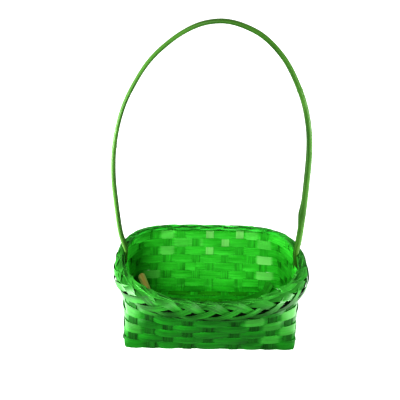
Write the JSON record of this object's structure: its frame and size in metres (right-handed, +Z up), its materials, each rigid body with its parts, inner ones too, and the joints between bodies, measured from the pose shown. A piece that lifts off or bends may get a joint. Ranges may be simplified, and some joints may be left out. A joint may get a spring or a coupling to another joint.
{
  "type": "handled basket",
  "caption": "Oblong woven gift basket of split strips with a rolled, braided rim and one tall bent hoop handle across its middle.",
  "frame": {"origin": "centre of the base, on the surface that the basket stands on", "axes": "+Z up towards the top of the handle, +X along the basket to the right of the picture, +Y across it to the back"},
  "size_m": [0.2372, 0.185, 0.3714],
  "materials": {
    "weaver": "satin dyed bamboo, bright green",
    "stake": "satin dyed bamboo, darker green",
    "floor_strip": "dyed bamboo, brownish green",
    "rim": "satin dyed bamboo, cool green",
    "handle": "satin dyed bamboo, olive green",
    "natural_bamboo": "half-dyed bamboo, tan with green edges"
  },
  "bodies": {
    "root": {"crosswise_stake_1": "stake", "crosswise_stake_2": "stake", "crosswise_stake_3": "stake", "crosswise_stake_4": "stake", "crosswise_stake_5": "stake", "crosswise_stake_6": "stake", "crosswise_stake_7": "stake", "crosswise_stake_8": "stake", "crosswise_stake_9": "stake", "lengthwise_stake_1": "stake", "lengthwise_stake_2": "stake", "lengthwise_stake_3": "stake", "lengthwise_stake_4": "stake", "lengthwise_stake_5": "stake", "lengthwise_stake_6": "stake", "lengthwise_stake_7": "stake", "floor_filler_1": "floor_strip", "floor_filler_2": "floor_strip", "floor_filler_3": "floor_strip", "floor_filler_4": "floor_strip", "floor_filler_5": "floor_strip", "floor_filler_6": "floor_strip", "floor_filler_7": "floor_strip", "weaver_1": "weaver", "weaver_2": "weaver", "weaver_3": "weaver", "weaver_4": "weaver", "weaver_5": "weaver", "weaver_6": "weaver", "weaver_7": "weaver", "rim_strand_1": "rim", "rim_strand_2": "rim", "rim_strand_3": "rim", "rim_strand_4": "rim", "rim_strand_5": "rim", "handle_hoop": "handle", "brace_slat_natural": "natural_bamboo", "brace_slat_dyed": "floor_strip"}
  },
  "joints": []
}
